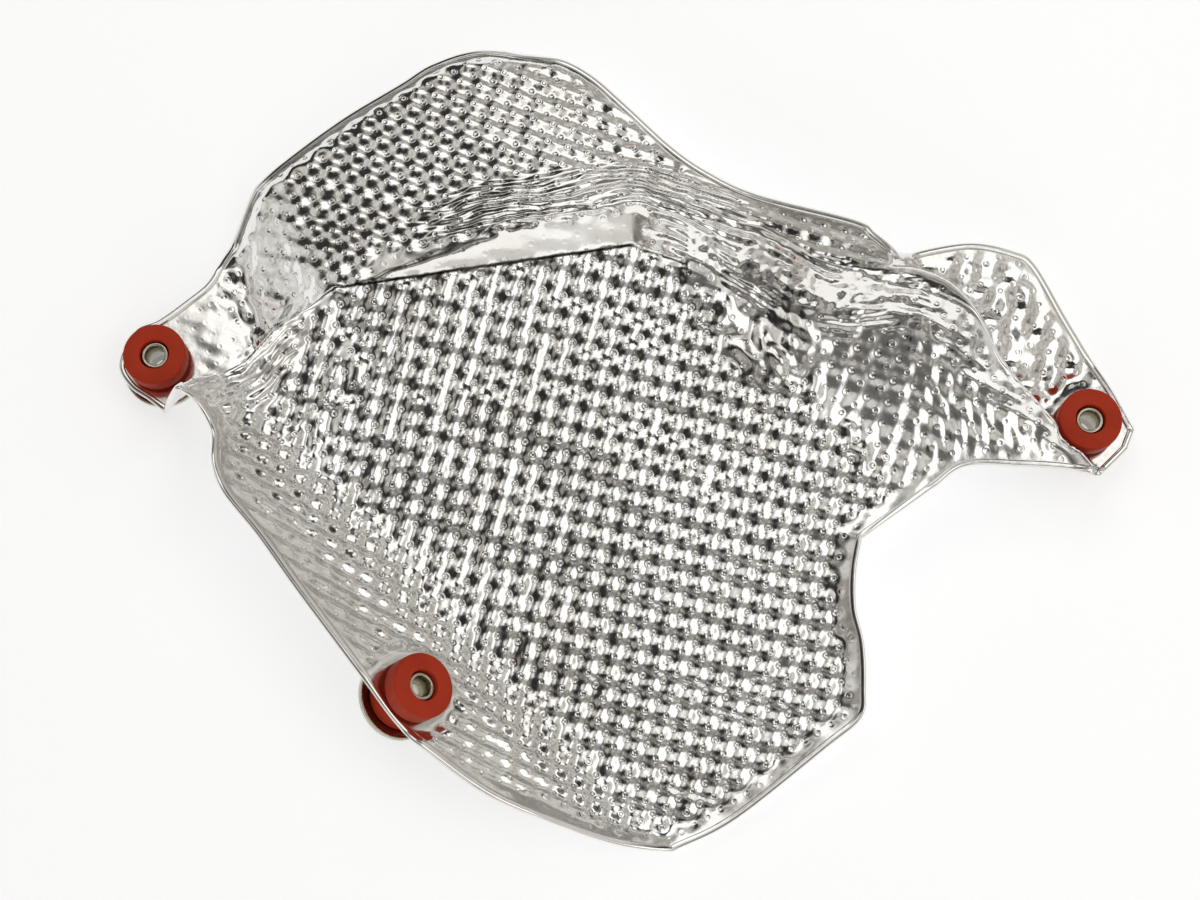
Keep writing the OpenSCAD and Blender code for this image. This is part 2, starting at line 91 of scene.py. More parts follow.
# the raised lip at the lower right and the turned-down edge at the upper left
lip_w = 8
lip_rise = 3.5
lip_grows = (50, 70)
lip_end_x = 110
lip_eases = 20
edge_drop = 4.5
drop_grows = (106, 118)
drop_start_y = 68
drop_eases = 10
# the tabs, and the holes with the flat pads round them
tab_z = 9.6
tab_bend = 1.5
hole_r = 7.3
grommet_r = 10.75
pad_clear = 0.9
pad_r = grommet_r + 1.75
pad_border = 5.5
holes = np.array([[-153.0, 35.0], [167.0, 12.0], [-61.5, -82.5]])
lean = np.array([0.69, 0.17])
middle = np.array([8.057, 4.908, 0.0])

# the sheet's edge, in runs that meet at its corners
outline = [
    [[-144, 13], [-150, 16.5], [-156, 21], [-163, 26], [-167, 34], [-162, 46],
     [-154, 50], [-145, 57], [-137, 64.5], [-132, 76], [-123.5, 94.5], [-116.5, 101],
     [-92, 118.5], [-70, 131], [-58, 138], [-40, 142], [-16, 137], [-3, 130],
     [10, 117], [24, 102], [36, 92.5], [53, 84], [86, 76], [93, 71], [100, 64.5]],
    [[100, 64.5], [113, 69], [128, 72], [142, 70.5], [150, 66.5], [161.5, 49],
     [175, 28.5], [184, 10.5]],
    [[184, 10.5], [181, 3.5]],
    [[181, 3.5], [168, -9]],
    [[168, -9], [157, -6.5], [141, -5.5], [123, -5.5], [113, -12], [106.5, -16.5],
     [87.5, -30]],
    [[87.5, -30], [85.5, -41], [85.5, -53], [88, -64], [88.5, -78.5], [87, -88.5],
     [75, -98.5], [45, -121.5], [27, -130.5], [21, -132], [2.5, -129.5], [-20.5, -122],
     [-37, -115], [-53, -104], [-65, -94], [-78, -77], [-97.5, -51.5], [-110, -34.5],
     [-121.5, -20.5], [-125.5, -11], [-127, 1], [-132, 10], [-137, 13]],
    [[-137, 13], [-144, 13]],
]
# the crease over the bowl, from the wall's left end to the right tab
crest_points = [
    [[-138, 5], [-136, 16], [-119.3, 27], [-108, 40], [-89.7, 54.2]],
    [[-89.7, 54.2], [10.9, 68.7]],
    [[10.9, 68.7], [46.7, 55.9], [66, 44], [89, 41], [104, 41], [113, 36.5], [126, 20],
     [150, 3.7], [163, -9]],
]


def unit(v):
    v = np.asarray(v, float)
    return v / np.linalg.norm(v)


def smooth_line(points, steps):
    """Smooth open curve through points, the last point left out."""
    pts = np.array(points, float)
    out = []
    for i in range(len(pts) - 1):
        b, c = pts[i], pts[i + 1]
        a = pts[i - 1] if i > 0 else 2 * b - c
        d = pts[i + 2] if i < len(pts) - 2 else 2 * c - b
        for k in range(steps):
            t = k / steps
            out.append((2 * b + (c - a) * t + (2 * a - 5 * b + 4 * c - d) * t * t
                        + (3 * b - a - 3 * c + d) * t ** 3) / 2)
    return np.array(out)


def ramp(v, start, end):
    """Zero before the start, one after the end, straight between them."""
    return np.clip((v - start) / (end - start), 0, 1)


def soft_ramp(v, start, end):
    c = ramp(v, start, end)
    return c * c * (3 - 2 * c)


def between(v, rise, fall):
    """One inside a stretch, easing in over rise and out over fall, each a pair of places."""
    return soft_ramp(v, *rise) * soft_ramp(fall[1] - v, 0, fall[1] - fall[0])


def soft_max(a, b, r):
    return (a + b + np.sqrt((a - b) ** 2 + r * r)) / 2


def soft_min(a, b, r):
    return (a + b - np.sqrt((a - b) ** 2 + r * r)) / 2


edge_steps = 9
crest_steps = 5
past_edge = 9
edge = np.vstack([smooth_line(run, edge_steps) for run in outline])
crest = np.vstack([smooth_line(run, crest_steps if len(run) > 2 else 1) for run in crest_points]
                  + [np.array(crest_points[-1][-1:], float)])
crest[0] += unit(crest[0] - crest[1]) * past_edge
crest[-1] += unit(crest[-1] - crest[-2]) * past_edge

left_corner = np.array([-89.7, 54.2])
wall_start = np.array([-121.5, 16.7])
wall_dir = unit([0.687, -0.726])
wall_out = np.array([wall_dir[1], -wall_dir[0]])
bank_start = np.array([10.9, 68.7])
bank_dir = unit([0.664, 0.748])
step_dir = unit([0.2, 0.98])
flank_dir = unit([-0.863, -0.505])
flank_along = np.array([flank_dir[1], -flank_dir[0]])
shoulder_end = np.array([10.6, 81.9])
shoulder_dir = unit([0.468, 0.885])
channel_dir = unit([-0.73, 0.68])
low_right = unit([1, -1])
up_left = unit([-1, 1])


def crest_distance(p):
    """Distance beyond the crest line, negative in the bowl."""
    best = np.full(len(p), 1e9)
    for a, b in zip(crest[:-1], crest[1:]):
        ab = b - a
        t = np.clip((p - a) @ ab / (ab @ ab), 0, 1)
        v = p - a - t[:, None] * ab
        d = np.hypot(v[:, 0], v[:, 1])
        side = np.where(ab[0] * v[:, 1] - ab[1] * v[:, 0] < 0, -1, 1)
        best = np.where(d < np.abs(best) - 1e-9, d * side, best)
    return best


def edge_offset(p):
    """Signed distance inside the edge, and the vector from its nearest point."""
    batch = 4000
    a = edge
    b = np.roll(edge, -1, axis=0)
    ab = b - a
    length = (ab ** 2).sum(1)
    dist = np.empty(len(p))
    vec = np.empty((len(p), 2))
    for s in range(0, len(p), batch):
        q = p[s:s + batch]
        w = q[:, None, :] - a[None]
        t = np.clip((w * ab).sum(2) / length, 0, 1)
        v = w - t[..., None] * ab
        d2 = (v ** 2).sum(2)
        k = d2.argmin(1)
        r = np.arange(len(q))
        straddle = (a[:, 1] > q[:, 1:2]) != (b[:, 1] > q[:, 1:2])
        with np.errstate(divide="ignore", invalid="ignore"):
            cross_x = ab[:, 0] * (q[:, 1:2] - a[:, 1]) / ab[:, 1] + a[:, 0]
        inside = (straddle & (q[:, :1] < cross_x)).sum(1) % 2 == 1
        dist[s:s + batch] = np.sqrt(d2[r, k]) * np.where(inside, 1, -1)
        vec[s:s + batch] = v[r, k]
    return dist, vec


def floor_at(y):
    return floor_z + math.tan(math.radians(floor_slope)) * (y - low_edge_y)


def wall_offset(p):
    """Distance along the side wall's foot, and distance out from it, up the wall."""
    return (p - wall_start) @ wall_dir, (p - wall_start) @ wall_out


def bowl_height(p):
    along, out = wall_offset(p)
    slope = np.clip(wall_slope - wall_ease * along, *wall_slopes)
    up_bank = soft_max((p - bank_start) @ bank_dir, 0, bank_bend)
    bank = bank_slope * soft_ramp(p[:, 1], *bank_grows) * up_bank
    return floor_at(p[:, 1]) + slope * soft_max(out, 0, wall_bend) + bank


def hump_height(x):
    return np.interp(x, hump_at[:3], [hump_top_h, (hump_top_h + hump_end_h) / 2, hump_end_h])


def hump_width(x):
    return np.interp(x, hump_at, hump_shares) * hump_face_w


def step_height(p, d):
    """Step over the bowl, straight under the lobe and hollow at the hump."""
    hollow = soft_ramp(p[:, 0], *step_hollows)
    hump = hump_height(p[:, 0]) * (d / hump_width(p[:, 0])) ** 2
    return (1 - hollow) * step_slope * d + hollow * hump


def left_height(p):
    q = p - left_corner
    corner_z = floor_at(left_corner[1])
    lobe = corner_z + lobe_rise * q[:, 0] - lobe_fall * q[:, 1]
    shoulder = shoulder_z - shoulder_fall * ((p - shoulder_end) @ shoulder_dir)
    flank = corner_z - ridge_fall * (q @ flank_along) - flank_fall * (q @ flank_dir)
    top = soft_min(soft_min(lobe, shoulder, shoulder_bend), flank, flank_bend)
    return soft_max(top, tab_z, tab_bend)


def right_height(p):
    return tab_z + channel_rise * np.maximum(0, (p - holes[1]) @ channel_dir - channel_flat)


def fold_height(x):
    return fold_rise * ramp(left_corner[0] - x, 0, fold_l)


def face_height(p, edge_d):
    """Height of the upper face without its domes, at places seen from above."""
    x, y = p[:, 0], p[:, 1]
    d = crest_distance(p)
    bowl = bowl_height(p) + fold_height(x) * soft_ramp(fold_w - np.abs(d), 0, fold_w)
    hump = bowl + hump_height(x) - drop_slope * (d - hump_width(x))
    brow = brow_z - brow_fall * (x - brow_x)
    hump_side = soft_max(soft_max(brow, hump, hump_bend), right_height(p), channel_bend)
    outer = soft_min(left_height(p), hump_side, hump_bend)
    outer = np.maximum(outer, bowl - drop_slope * d)
    eased = step_bend * ramp(d, 0, 2 * step_bend)
    panel = np.where(d < 0, bowl, soft_min(outer, bowl + step_height(p, d), eased))
    rise = lip_rise * ramp(p @ low_right, *lip_grows) * ramp(lip_end_x - x, 0, lip_eases)
    fall = edge_drop * ramp(p @ up_left, *drop_grows) * ramp(y - drop_start_y, 0, drop_eases)
    z = panel + (rise - fall) * soft_ramp(lip_w - edge_d, 0, lip_w)
    for c in holes[:2]:
        away = np.hypot(*(p - c).T) - grommet_r - pad_clear
        z = np.minimum(z, tab_z + 2 * drop_slope * np.maximum(0, away))
    on_wall = bowl_height(holes[2:])[0] - (p - holes[2]) @ lean
    blend = soft_ramp(np.hypot(*(p - holes[2]).T), pad_r, pad_r + pad_border)
    return z * blend + on_wall * (1 - blend)


def waves(p, length, seed):
    """Even, random swell of about unit height with the given wave length."""
    count = 18
    rng = np.random.default_rng(seed)
    out = np.zeros(len(p))
    for _ in range(count):
        a, phase = rng.uniform(0, 2 * np.pi, 2)
        k = 2 * np.pi / (length * rng.uniform(0.7, 1.5))
        out += np.sin(k * (p[:, 0] * math.cos(a) + p[:, 1] * math.sin(a)) + phase)
    return out / math.sqrt(count / 2)


def pads_away(p):
    """Nothing on the flat pads under the grommets, one away from them."""
    away = np.ones(len(p))
    for c in holes:
        away *= soft_ramp(np.hypot(*(p - c).T), pad_r, pad_r + pad_border)
    return away


# Height of each kind of fold, and its length from one fold to the next
swell_h, swell_l = 0.3, 42
ripple_h, ripple_l = 0.1, 15
brink_h, brink_uneven, brink_sway = 1.2, 0.3, 1.2
pleat_h, pleat_l, pleat_sway = 0.4, 4.9, 0.8
gather_h, gather_l, gather_stretch = 0.34, 5.6, 2.7
ply_h, ply_l, ply_sway = 0.13, 4.6, 0.9
line_h, line_l = 0.1, 4.5
crumple_h, crumple_l = 0.3, 7.5
notch_h, notch_l = 0.3, 8
left_end_h, left_end_l = 0.2, 8.5
grain_h, grain_l, grain_stretch = 0.16, 5.2, 2.6
dent_h, dent_l = 0.3, 15
beyond_h, beyond_l = 0.27, 9.5
flute_h, flute_l, flute_sway, flute_slant = 0.12, 3.8, 0.5, 0.25
wall_h, wall_l, wall_stretch = 0.12, 6, 3.2

crumple_at = np.array([57, 36])
crumple_r = 17
crumple_squash = [[0.8], [1.2]]
crumple_tilt = (0.07, -0.13)
notch_squash = [1, 0.7]
left_tab_r = 34


def ironed_band(x, d):
    """The smooth band along the upper side of the crease."""
    return between(d, (-1, 1.5), (7, 10)) * between(x, (-90, -70), (12, 20))


def fold_zones(p):
    """Where the pressing has gathered the sheet: pleats over the ironed band, folds right
    of the crease's end, the fold at the left notch and the crumple at the bank's foot."""
    x = p[:, 0]
    d = crest_distance(p)
    pleats = between(d, (8, 12), (21, 31)) * between(x, (-72, -35), (38, 58))
    gathers = between(d, (-7, 1), (14, 21)) * between(x, (12, 30), (100, 116))
    notch = soft_ramp(17 - np.abs(d + 3), 0, 10) * soft_ramp(-96 - x, 0, 12)
    off = np.hypot(*(p - crumple_at).T * crumple_squash)
    crumple = soft_ramp(crumple_r - off, 0, 9)
    return d, pleats, gathers, notch, crumple


def wrinkles(p, edge_d):
    """Pleats, flutes and dents left by the pressing, as a lift from the smooth sheet."""
    x, y = p[:, 0], p[:, 1]
    d, pleats, gathers, notch, crumple = fold_zones(p)
    along, out = wall_offset(p)
    sway = waves(p, 26, 3)
    # the whole sheet, calmer on the ironed band and on the left tab
    band = ironed_band(x, d)
    tab = soft_ramp(left_tab_r - np.hypot(*(p - holes[0]).T), 0, 12)
    broad = swell_h * waves(p, swell_l, 11) + ripple_h * waves(p, ripple_l, 12)
    lift = broad * (1 - 0.85 * band) * (1 - 0.7 * tab)
    # the brink where the bank leaves the floor
    foot = (p - bank_start) @ bank_dir + brink_sway * waves(p, 12, 32)
    brink = soft_ramp(foot, -9, 1) * (1 - soft_ramp(foot, 1, 8)) * between(x, (26, 44), (84, 96))
    lift += (brink_h + brink_uneven * waves(p, 14, 31)) * brink
    # pleats over the band, and gathers beyond it that calm down to fine plies on the right
    lift += pleat_h * pleats * np.sin(2 * np.pi * (d + pleat_sway * sway) / pleat_l)
    calm = soft_ramp(x, 34, 74)
    drawn = np.column_stack([(x + 0.3 * y) / gather_stretch, d])
    lift += gathers * (1 - calm) * gather_h * waves(drawn, gather_l, 8)
    plies = np.sin(2 * np.pi * (d + ply_sway * sway) / ply_l)
    lift += gathers * calm * ply_h * plies * (1 + 0.6 * waves(p, 17, 33))
    lift += line_h * gathers * waves(p, line_l, 34)
    # the crumple, which also leans, the left notch and the bowl's left end
    lift += crumple_h * crumple * waves(p, crumple_l, 7)
    lift += notch_h * notch * waves(p * notch_squash, notch_l, 5)
    lift += crumple * ((p - crumple_at) @ crumple_tilt)
    left_end = soft_ramp(-x, 62, 84) * soft_ramp(-d, 0, 5) * (1 - soft_ramp(out, 2, 10))
    lift += left_end_h * left_end * waves(p * notch_squash, left_end_l, 6)
    # scuffs down the left flank, and dents beyond the hump's ridge
    flank = soft_ramp(d, -1, 2) * soft_ramp((p - left_corner) @ flank_dir, -4, 6) * (1 - tab)
    grain = np.column_stack([p @ flank_along / grain_stretch, p @ flank_dir])
    lift += flank * (grain_h * waves(grain, grain_l, 71) + dent_h * waves(grain, dent_l, 72))
    beyond = soft_ramp(d - hump_width(x), 1, 5) * soft_ramp(x, 104, 116)
    lift += beyond_h * beyond * waves(p, beyond_l, 41)
    # fine flutes down the hump's hollow, and long waves along the side wall
    flutes = between(x, (100, 116), (148, 158)) * soft_ramp(3 - d, 0, 6) * soft_ramp(y, -14, 2)
    lift += flute_h * flutes * np.sin(2 * np.pi * (x + flute_slant * y + flute_sway * sway) / flute_l)
    on_wall = soft_ramp(out, 6, 16) * soft_ramp(-d, 2, 12)
    lift += wall_h * on_wall * waves(np.column_stack([along / wall_stretch, out]), wall_l, 9)
    return lift * pads_away(p) * soft_ramp(edge_d, 1.5, 9)


# How far the pressing has run the domes together, and what it has taken from their height
pull_on_wall = 0.6
pull_on_floor, floor_uneven = 0.26, 0.14
pull_on_lobe = 0.3
band_irons = 0.9
pleats_iron, gathers_iron, notch_irons, crumple_irons = 0.6, 0.6, 0.4, 0.6
flank_irons, tab_irons, brow_irons, wall_irons, bank_irons = 0.5, 0.8, 0.5, 0.38, 0.6
bend_raises = 0.45
dome_uneven = 0.15


def row_pull(p):
    """How far the forming has run the domes together along one row or the other: above
    zero the shallow rows join, as on the wall, below zero the steep ones."""
    x, d = p[:, 0], crest_distance(p)
    wall = soft_ramp(wall_offset(p)[1], 4, 13) * soft_ramp(-d, 0, 10)
    left_floor = soft_ramp(24 - x, 0, 60) * soft_ramp(-d, 0, 6) * (1 - wall)
    lobe = soft_ramp(d, 8, 14)
    floor_pull = pull_on_floor + floor_uneven * waves(p, 17, 61)
    return pull_on_wall * wall - floor_pull * left_floor + pull_on_lobe * lobe


def dome_share(p, edge_d):
    """Share of the full dome height that the pressing has left."""
    x, y = p[:, 0], p[:, 1]
    d, pleats, gathers, notch, crumple = fold_zones(p)
    share = 1 - band_irons * ironed_band(x, d)
    share *= ((1 - pleats_iron * pleats) * (1 - gathers_iron * gathers)
              * (1 - notch_irons * notch) * (1 - crumple_irons * crumple))
    share *= 1 - flank_irons * soft_ramp(d, -1, 2) * soft_ramp((p - left_corner) @ flank_dir, -4, 3)
    share *= 1 - tab_irons * soft_ramp(left_tab_r + 2 - np.hypot(*(p - holes[0]).T), 0, 9)
    share *= 1 - brow_irons * soft_ramp(d, -1, 2) * soft_ramp(x, 16, 26) * soft_ramp(96 - y, 0, 8)
    out = wall_offset(p)[1]
    share *= 1 - wall_irons * soft_ramp(out, 9, 20) * soft_ramp(-d, 0, 8)
    share *= 1 + bend_raises * between(out, (-3, 3), (9, 15)) * soft_ramp(-d, 0, 8)
    share *= 1 + dome_uneven * waves(p, 10, 21)
    beyond = np.maximum((p - bank_start) @ bank_dir, x - hump_at[0])
    share *= 1 - bank_irons * ramp(beyond, -2, 10) * ramp(-d, -2, 2)
    # no domes on the crease and on the hump's ridge
    ridge = np.where(x > 20, hump_width(x), 0)
    line = soft_ramp(np.abs(d - ridge), 0.5, 4)
    share *= np.where((x > 20) | (x < left_corner[0]), line, 1)
    lip = soft_ramp(p @ low_right, *lip_grows) * soft_ramp(lip_end_x - x, 0, lip_eases)
    return share * pads_away(p) * soft_ramp(edge_d, hem_w, plain_edge + 3 * lip)


# Share by which each slope draws the domes together, and the flank's width
wall_draws, step_draws, flank_draws = 0.38, 0.28, 0.19
step_drawn_w, flank_drawn_w = 28, 40


def pressed(p):
    """Place on the flat sheet to place seen from above: slopes draw the domes together."""
    out = wall_offset(p)[1]
    d = crest_distance(p)
    flank = (p - left_corner) @ flank_dir
    step_w = step_drawn_w * ramp(p[:, 0] - left_corner[0], 0, 100)
    return (p - wall_out * (wall_draws * soft_max(out - 2, 0, 6))[:, None]
            - step_dir * (step_draws * np.clip(d, 0, step_w))[:, None]
            - flank_dir * (flank_draws * np.clip(flank, 0, flank_drawn_w) * ramp(d, 0, 10))[:, None])


def face_points(p, edge_d, lift=0.0):
    """Points on the upper face and their normals."""
    probe = 0.5
    z = face_height(p, edge_d)
    zx = face_height(p + [probe, 0], edge_d)
    zy = face_height(p + [0, probe], edge_d)
    n = np.stack([z - zx, z - zy, np.full(len(p), probe)], 1)
    n /= np.linalg.norm(n, axis=1)[:, None]
    at = np.column_stack([p, z])
    return at + n * np.reshape(lift, (-1, 1)), n


def hole_distance(p, k):
    """Distance from a hole's axis, measured in the plane of its pad."""
    q = p - holes[k]
    if k < 2:
        return np.hypot(q[:, 0], q[:, 1])
    tilt = unit(lean)
    s = q @ tilt * math.hypot(1, *lean)
    return np.hypot(s, q @ [-tilt[1], tilt[0]])


def sheet_face(cuts, rim_d, below):
    """One side of the sheet as a grid on the dome lattice, cuts cells to a half pitch.
    Gives its points, its faces and, for each point, what the material needs to know."""
    step = dome_pitch / math.sqrt(2)
    a = math.radians(45 - dome_turn)
    row = np.array([math.cos(a), math.sin(a)]) * step
    col = np.array([-row[1], row[0]])
    reach = 46 * cuts
    count = 2 * reach + 1
    i, j = np.meshgrid(np.arange(-reach, reach + 1), np.arange(-reach, reach + 1), indexing="ij")
    uv = np.column_stack([i.ravel(), j.ravel()]) / cuts
    p = pressed(uv[:, :1] * row + uv[:, 1:] * col)

    # keep the cells whose middle lies inside the hem and outside the holes
    close = (np.abs(p[:, 0]) < 190) & (np.abs(p[:, 1]) < 150)
    dist = np.full(len(p), -99.0)
    vec = np.zeros((len(p), 2))
    dist[close], vec[close] = edge_offset(p[close])

    def cell_mean(values):
        g = values.reshape(count, count)
        return (g[:-1, :-1] + g[1:, :-1] + g[:-1, 1:] + g[1:, 1:]) / 4

    hole_d = [hole_distance(p, k) for k in range(3)]
    keep = cell_mean(dist) > rim_d
    for h in hole_d:
        keep &= cell_mean(h) > hole_r
    use = np.zeros((count, count), int)
    for di in (0, 1):
        for dj in (0, 1):
            use[di:count - 1 + di, dj:count - 1 + dj] += keep
    use = use.ravel()

    # move the points of the outermost cells onto the rims of the holes and of the hem
    rim = (use > 0) & (use < 4)
    for k, h in enumerate(hole_d):
        by_hole = rim & (h < hole_r + 3)
        p[by_hole] = holes[k] + (p[by_hole] - holes[k]) * (hole_r / h[by_hole])[:, None]
        rim &= ~by_hole
    inward = vec[rim] * np.sign(dist[rim])[:, None]
    inward /= np.maximum(np.linalg.norm(inward, axis=1), 1e-9)[:, None]
    p[rim] = p[rim] - vec[rim] + inward * rim_d
    dist[rim] = rim_d

    # lift the domes and press the dimples
    used = use > 0
    at, inside = p[used], dist[used]
    share = dome_share(at, inside)
    u, v = uv[used].T
    pull = row_pull(at)
    shallow, steep = np.cos(np.pi * (u + v)), np.cos(np.pi * (u - v))
    domes = share * dome_h * ((1 + pull) * shallow + (1 - pull) * steep) / 2
    points, n = face_points(at, inside, domes + wrinkles(at, inside))
    if below:
        points = points - n * sheet_t
    rank = (np.cumsum(used) - 1).reshape(count, count)
    quads = np.stack([g[keep] for g in (rank[:-1, :-1], rank[1:, :-1], rank[1:, 1:], rank[:-1, 1:])], 1)
    if below:
        quads = quads[:, ::-1]

    d, pleats, gathers, notch, _ = fold_zones(at)
    patchy = soft_ramp(waves(at, 19, 51), -0.6, 1.2)
    lined = np.maximum(np.maximum(0.85 * pleats, 0.6 * gathers * patchy), 0.5 * notch)
    # the stretch of the crease under the lobe that gets a painted shade line in the material
    crease_shade_span = between(at[:, 0], (-94, -86), (10, 13))
    return points, quads, np.column_stack([uv[used], share, d, lined, crease_shade_span])


def hem_band(rim_d):
    """The folded edge as a band with a round outer side, swept along the outline."""
    sunk, tucked, eased = 0.1, 0.15, 0.12
    along = np.roll(edge, -1, axis=0) - np.roll(edge, 1, axis=0)
    along /= np.linalg.norm(along, axis=1)[:, None]
    inward = np.column_stack([along[:, 1], -along[:, 0]])
    at_edge, n_edge = face_points(edge, np.zeros(len(edge)))
    inner, n_inner = face_points(edge + inward * rim_d, np.full(len(edge), rim_d))
    up = hem_t - sheet_t
    mid = (up - sheet_t) / 2
    half = hem_t / 2
    rings = [inner + n_inner * -sunk, inner + n_inner * (up - tucked),
             inner + n_inner * up + (at_edge - inner) * eased]
    round_in = (inner - at_edge) * (half / rim_d)
    for a in np.radians([90, 60, 30, 0, -30, -60, -90]):
        centre = at_edge + round_in + n_edge * mid
        rings.append(centre - round_in * math.cos(a) + n_edge * (half * math.sin(a)))
    rings.append(inner - n_inner * sheet_t)
    pts = np.stack(rings, 1)
    m, k = pts.shape[:2]
    a = np.arange(m)
    b = (a + 1) % m
    quads = [np.stack([a * k + s, a * k + s + 1, b * k + s + 1, b * k + s], 1) for s in range(k - 1)]
    return pts.reshape(-1, 3), np.vstack(quads)


def to_mesh(name, points, quads):
    """A smooth mesh from points in millimetres, the shield's middle over the origin."""
    mesh = bpy.data.meshes.new(name)
    mesh.from_pydata(((points - middle) / 1000).tolist(), [], [list(map(int, q)) for q in quads])
    mesh.polygons.foreach_set("use_smooth", np.ones(len(mesh.polygons), bool))
    mesh.update()
    piece = bpy.data.objects.new(name, mesh)
    bpy.context.scene.collection.objects.link(piece)
    return piece


# fine on the upper side, coarser below, and both run a little way under the hem
top_cuts = 5
low_cuts = 3
under_hem = 0.25
top_pts, top_quads, top_marks = sheet_face(top_cuts, hem_w - under_hem, False)
low_pts, low_quads, low_marks = sheet_face(low_cuts, hem_w - under_hem, True)
hem_pts, hem_quads = hem_band(hem_w)
low_quads = low_quads + len(top_pts)
hem_quads = hem_quads + len(top_pts) + len(low_pts)
shield = to_mesh("shield", np.vstack([top_pts, low_pts, hem_pts]),
                 np.vstack([top_quads, low_quads, hem_quads]))

# the place on the dome lattice, the pressing's marks and the span of the painted crease shade, kept on
# the mesh for the material
marks = np.vstack([top_marks, low_marks, np.zeros((len(hem_pts), top_marks.shape[1]))])
loop_vert = np.zeros(len(shield.data.loops), int)
shield.data.loops.foreach_get("vertex_index", loop_vert)
uv_layer = shield.data.uv_layers.new(name="dome_lattice")
uv_layer.data.foreach_set("uv", marks[loop_vert, :2].ravel())
for column, name in ((2, "dome_share"), (3, "crease_distance"), (4, "fine_pleats"), (5, "crease_shade_span")):
    kept = shield.data.attributes.new(name, "FLOAT", "POINT")
    kept.data.foreach_set("value", marks[:, column].copy())

aluminium = bpy.data.materials.new("embossed_aluminium")
aluminium.use_nodes = True
nodes = aluminium.node_tree.nodes
links = aluminium.node_tree.links
skin = nodes["Principled BSDF"]
skin.inputs["Metallic"].default_value = 1.0
place = nodes.new("ShaderNodeTexCoord")


def noise_in(nodes, links, vector, scale, detail=4.0):
    """Cloudy pattern, scale patches to a metre."""
    n = nodes.new("ShaderNodeTexNoise")
    n.inputs["Scale"].default_value = scale
    n.inputs["Detail"].default_value = detail
    links.new(vector, n.inputs["Vector"])
    return n.outputs["Fac"]


def shades(nodes, links, fac, stops):
    """Ramp of greys or colours through stops of place and shade."""
    r = nodes.new("ShaderNodeValToRGB")
    r.color_ramp.elements[0].position = stops[0][0]
    r.color_ramp.elements[1].position = stops[-1][0]
    for pos, _ in stops[1:-1]:
        r.color_ramp.elements.new(pos)
    for el, (pos, col) in zip(r.color_ramp.elements, stops):
        el.color = (*col, 1) if isinstance(col, tuple) else (col, col, col, 1)
    links.new(fac, r.inputs["Fac"])
    return r.outputs["Color"]


def maths(nodes, links, operation, a, b=0.0):
    """One sum on two values, each a number or a node's output."""
    m = nodes.new("ShaderNodeMath")
    m.operation = operation
    for socket, value in zip(m.inputs, (a, b)):
        if isinstance(value, (int, float)):
            socket.default_value = value
        else:
            links.new(value, socket)
    return m.outputs[0]


def raised(nodes, links, height, depth, strength, under=None):
    """Fine relief of the given depth in metres, over the relief under it."""
    bump = nodes.new("ShaderNodeBump")
    bump.inputs["Distance"].default_value = depth
    if isinstance(strength, float):
        bump.inputs["Strength"].default_value = strength
    else:
        links.new(strength, bump.inputs["Strength"])
    links.new(height, bump.inputs["Height"])
    if under is not None:
        links.new(under, bump.inputs["Normal"])
    return bump.outputs["Normal"]


def mark_on_mesh(nodes, name):
    """A value kept on the shield's points."""
    n = nodes.new("ShaderNodeAttribute")
    n.attribute_name = name
    return n.outputs["Fac"]


# tarnish and handling marks: broad patches a little darker and warmer than the rest
patches = noise_in(nodes, links, place.outputs["Object"], scale=28.0)
tarnish = shades(nodes, links, patches, [(0.3, (0.80, 0.785, 0.76)), (0.7, (0.91, 0.91, 0.90))])
# fine scratches make the metal's shine uneven
scratches = noise_in(nodes, links, place.outputs["Object"], scale=420.0, detail=6.0)
links.new(shades(nodes, links, scratches, [(0.3, 0.09), (0.75, 0.19)]), skin.inputs["Roughness"])

# a small round punch mark at the middle of each dome and each dimple, which lie at the
# whole numbers of the lattice; the shift keeps all places above zero
whole_shift = 100.5
lattice = nodes.new("ShaderNodeUVMap")
lattice.uv_map = "dome_lattice"
split = nodes.new("ShaderNodeSeparateXYZ")
links.new(lattice.outputs["UV"], split.inputs["Vector"])
from_middle = []
for axis in ("X", "Y"):
    part = maths(nodes, links, "FRACT", maths(nodes, links, "ADD", split.outputs[axis], whole_shift))
    from_middle.append(maths(nodes, links, "SUBTRACT", part, 0.5))
squares = [maths(nodes, links, "MULTIPLY", q, q) for q in from_middle]
radius = maths(nodes, links, "SQRT", maths(nodes, links, "ADD", *squares))
punch = shades(nodes, links, radius, [(0.0, 0.1), (0.09, 0.2), (0.17, 0.85), (0.22, 1.0), (0.32, 0.8)])
relief = raised(nodes, links, punch, depth=0.0003, strength=mark_on_mesh(nodes, "dome_share"))
# shallow creases everywhere
creases = noise_in(nodes, links, place.outputs["Object"], scale=160.0, detail=5.0)
relief = raised(nodes, links, creases, depth=0.0006, strength=0.13, under=relief)
# fine pleats that run along the crease, where the sheet is gathered
from_crease = mark_on_mesh(nodes, "crease_distance")
wander = noise_in(nodes, links, place.outputs["Object"], scale=45.0, detail=2.0)
turn_per_mm = 2.3
wander_by = 14.0
across = maths(nodes, links, "ADD", maths(nodes, links, "MULTIPLY", from_crease, turn_per_mm),
               maths(nodes, links, "MULTIPLY", wander, wander_by))
fine_pleats = maths(nodes, links, "SINE", across)
relief = raised(nodes, links, fine_pleats, depth=0.0003, strength=mark_on_mesh(nodes, "fine_pleats"),
                under=relief)
links.new(relief, skin.inputs["Normal"])
